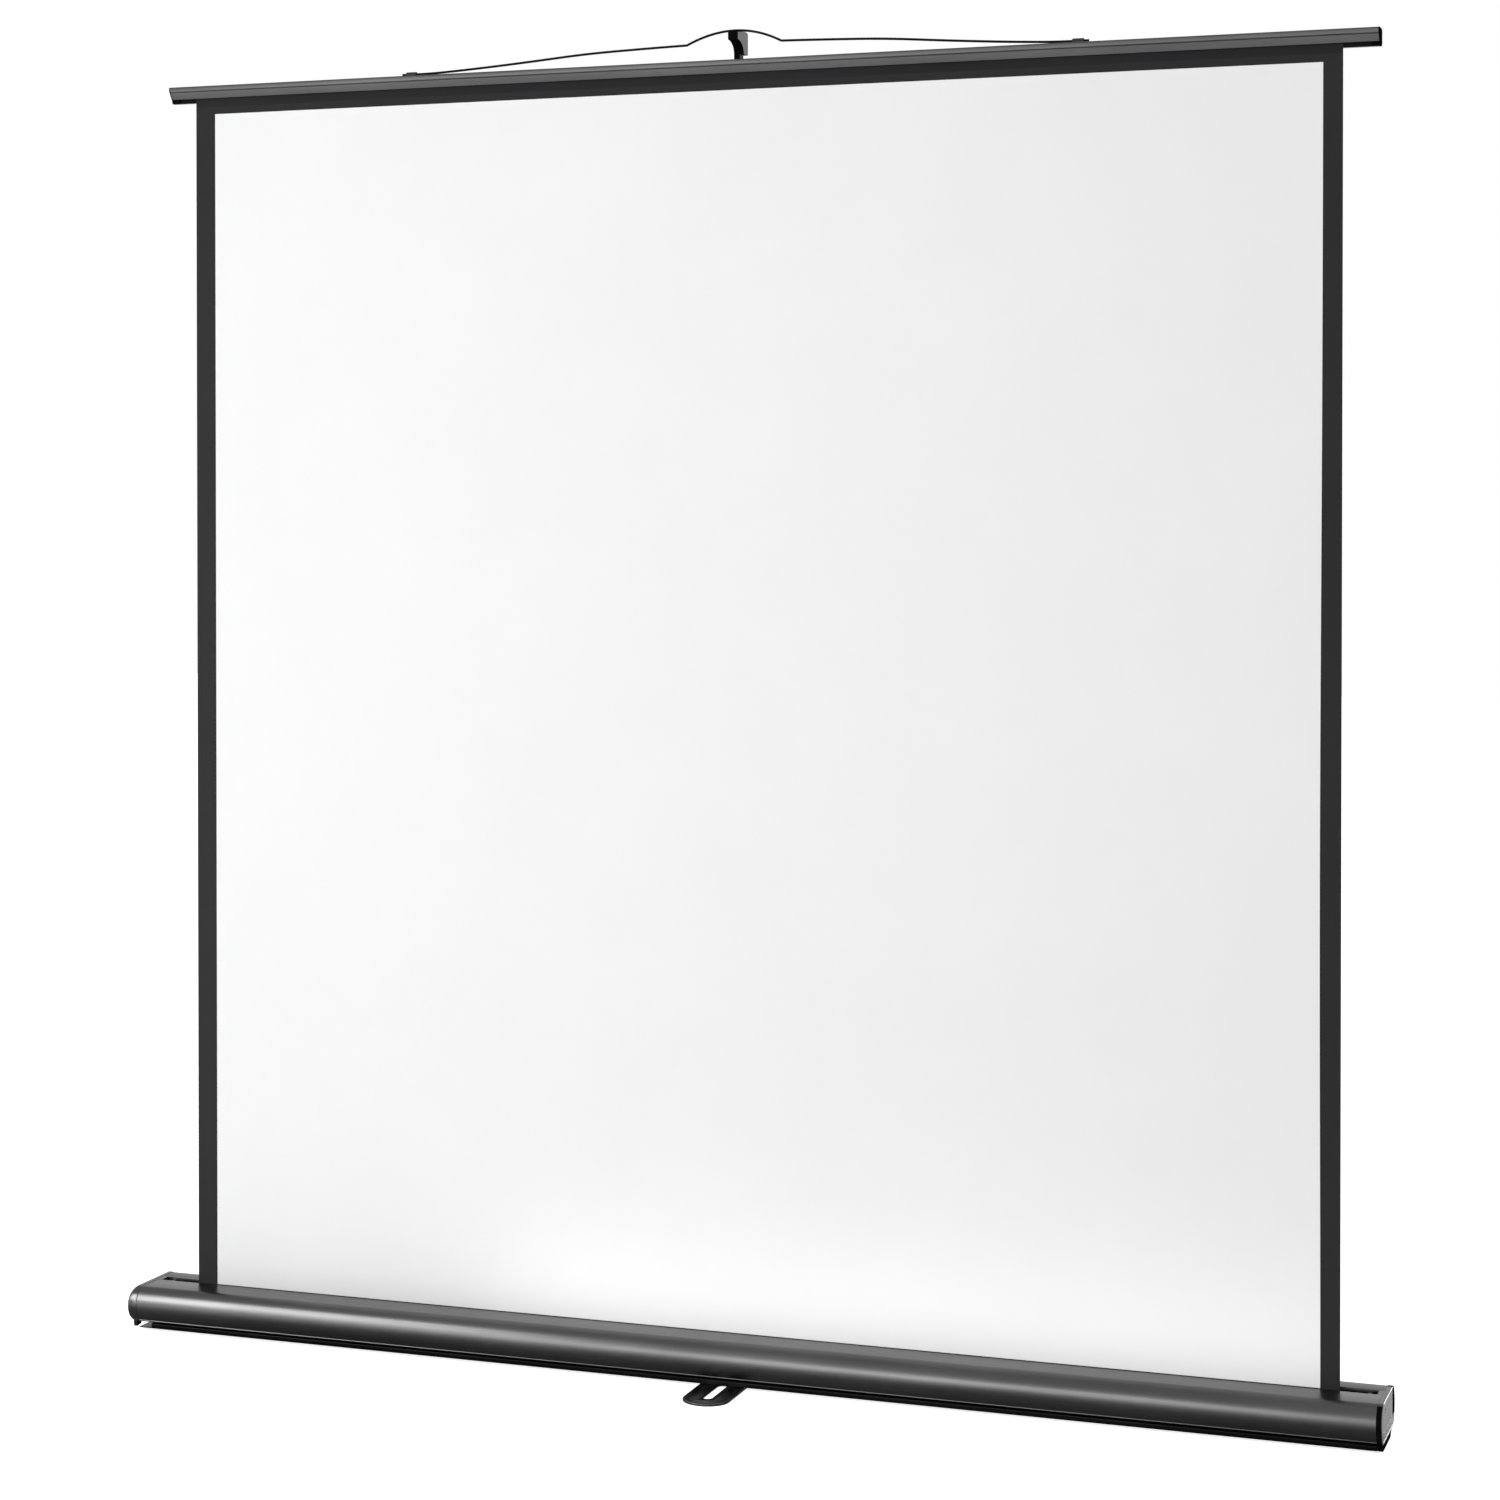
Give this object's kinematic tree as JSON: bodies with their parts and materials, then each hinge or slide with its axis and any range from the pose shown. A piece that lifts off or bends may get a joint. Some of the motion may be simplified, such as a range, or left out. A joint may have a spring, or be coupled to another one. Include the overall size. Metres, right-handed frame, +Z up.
{
  "type": "portable projector screen",
  "caption": "Pull-up projector screen: floor case with spring roller, square fabric, slat with wire bail held by a telescopic mast, swivel foot.",
  "frame": {"origin": "on the floor under the middle of the case's length, in the plane of the fabric", "axes": "+X to the right along the screen as the audience sees it, +Y away from the audience, +Z up"},
  "size_m": [1.63, 0.24, 1.6758],
  "materials": {
    "dark_aluminium": "dark grey satin anodised extrusion",
    "black_aluminium": "black anodised extrusion",
    "black_plastic": "moulded black, semi-matt",
    "black_enamel": "black powder coat",
    "plain_steel": "zinc plated",
    "galvanised": "galvanised sheet",
    "screen_cloth": "matt white coated cloth with printed black borders",
    "black_rubber": "matt",
    "white_nylon": "natural nylon",
    "grey_felt": "felt strip"
  },
  "bodies": {
    "case": {"case_shell": "dark_aluminium", "base_rail": "black_aluminium", "slot_wiper": "grey_felt", "end_cap_left": "black_plastic", "end_cap_right": "black_plastic", "roller_bracket_left": "galvanised", "roller_bracket_right": "galvanised", "bracket_bush_left": "white_nylon", "bracket_bush_right": "white_nylon", "cap_screw_left_1": "plain_steel", "cap_screw_left_2": "plain_steel", "cap_screw_right_1": "plain_steel", "cap_screw_right_2": "plain_steel", "rubber_pad_left_front": "black_rubber", "rubber_pad_left_rear": "black_rubber", "rubber_pad_right_front": "black_rubber", "rubber_pad_right_rear": "black_rubber", "spring_shaft": "plain_steel", "spring_hub": "white_nylon", "foot_pin": "plain_steel", "foot_push_nut": "plain_steel", "mast_socket": "black_plastic", "socket_screw_1": "plain_steel", "socket_screw_2": "plain_steel", "mast_tube_1": "black_enamel", "screen_fabric": "screen_cloth"},
    "roller": {"roller_tube": "galvanised", "wound_fabric": "screen_cloth", "roller_plug_left": "white_nylon", "roller_plug_right": "white_nylon", "axle_pin": "plain_steel", "torsion_spring": "plain_steel"},
    "foot": {"foot_plate": "black_enamel"},
    "socket_knob": {"socket_knob": "black_plastic"},
    "lower_collar": {"mast_collar_1": "black_plastic"},
    "mast_stage_2": {"mast_tube_2": "black_enamel"},
    "middle_collar": {"mast_collar_2": "black_plastic"},
    "mast_stage_3": {"mast_tube_3": "black_enamel"},
    "upper_collar": {"mast_collar_3": "black_plastic"},
    "mast_top": {"mast_rod": "black_enamel", "mast_hook": "black_plastic"},
    "slat": {"slat_profile": "dark_aluminium", "slat_cap_left": "black_plastic", "slat_cap_right": "black_plastic", "hem_rod": "plain_steel", "bail_anchor_left": "black_plastic", "bail_anchor_right": "black_plastic"},
    "bail": {"bail_wire": "black_enamel"}
  },
  "joints": [
    {"name": "screen_travel", "type": "slide", "parent": "case", "child": "slat", "axis": [0, 0, -1], "range_m": [0, 1.056], "deforming": ["screen_fabric"]},
    {"name": "roller_turn", "type": "hinge", "parent": "case", "child": "roller", "pos_m": [0, 0.01485, 0.0345], "axis": [1, 0, 0], "range_deg": [0, 4300]},
    {"name": "stage_2_slide", "type": "slide", "parent": "case", "child": "mast_stage_2", "axis": [0, 0, -1], "range_m": [0, 0.3525]},
    {"name": "stage_3_slide", "type": "slide", "parent": "mast_stage_2", "child": "mast_stage_3", "axis": [0, 0, -1], "range_m": [0, 0.3525]},
    {"name": "rod_slide", "type": "slide", "parent": "mast_stage_3", "child": "mast_top", "axis": [0, 0, -1], "range_m": [0, 0.3525]},
    {"name": "lower_collar_twist", "type": "hinge", "parent": "case", "child": "lower_collar", "pos_m": [0.006, 0.029, 0.5], "axis": [0, 0, 1], "range_deg": [0, 90]},
    {"name": "middle_collar_twist", "type": "hinge", "parent": "mast_stage_2", "child": "middle_collar", "pos_m": [0.006, 0.029, 0.884], "axis": [0, 0, 1], "range_deg": [0, 90]},
    {"name": "upper_collar_twist", "type": "hinge", "parent": "mast_stage_3", "child": "upper_collar", "pos_m": [0.006, 0.029, 1.268], "axis": [0, 0, 1], "range_deg": [0, 90]},
    {"name": "knob_turn", "type": "hinge", "parent": "case", "child": "socket_knob", "pos_m": [0.006, 0.045, 0.0825], "axis": [0, 1, 0], "continuous": true},
    {"name": "foot_swivel", "type": "hinge", "parent": "case", "child": "foot", "pos_m": [0.006, 0, 0.0015], "axis": [0, 0, 1], "range_deg": [0, 90]},
    {"name": "bail_fold", "type": "hinge", "parent": "slat", "child": "bail", "pos_m": [0.006, 0, 1.6388], "axis": [1, 0, 0], "range_deg": [0, 100]}
  ],
  "couplings": [
    {"joint": "stage_2_slide", "follows": "screen_travel", "ratio": 0.33333},
    {"joint": "stage_3_slide", "follows": "screen_travel", "ratio": 0.33333},
    {"joint": "rod_slide", "follows": "screen_travel", "ratio": 0.33333},
    {"joint": "roller_turn", "follows": "screen_travel", "rad_per_m": 70}
  ]
}
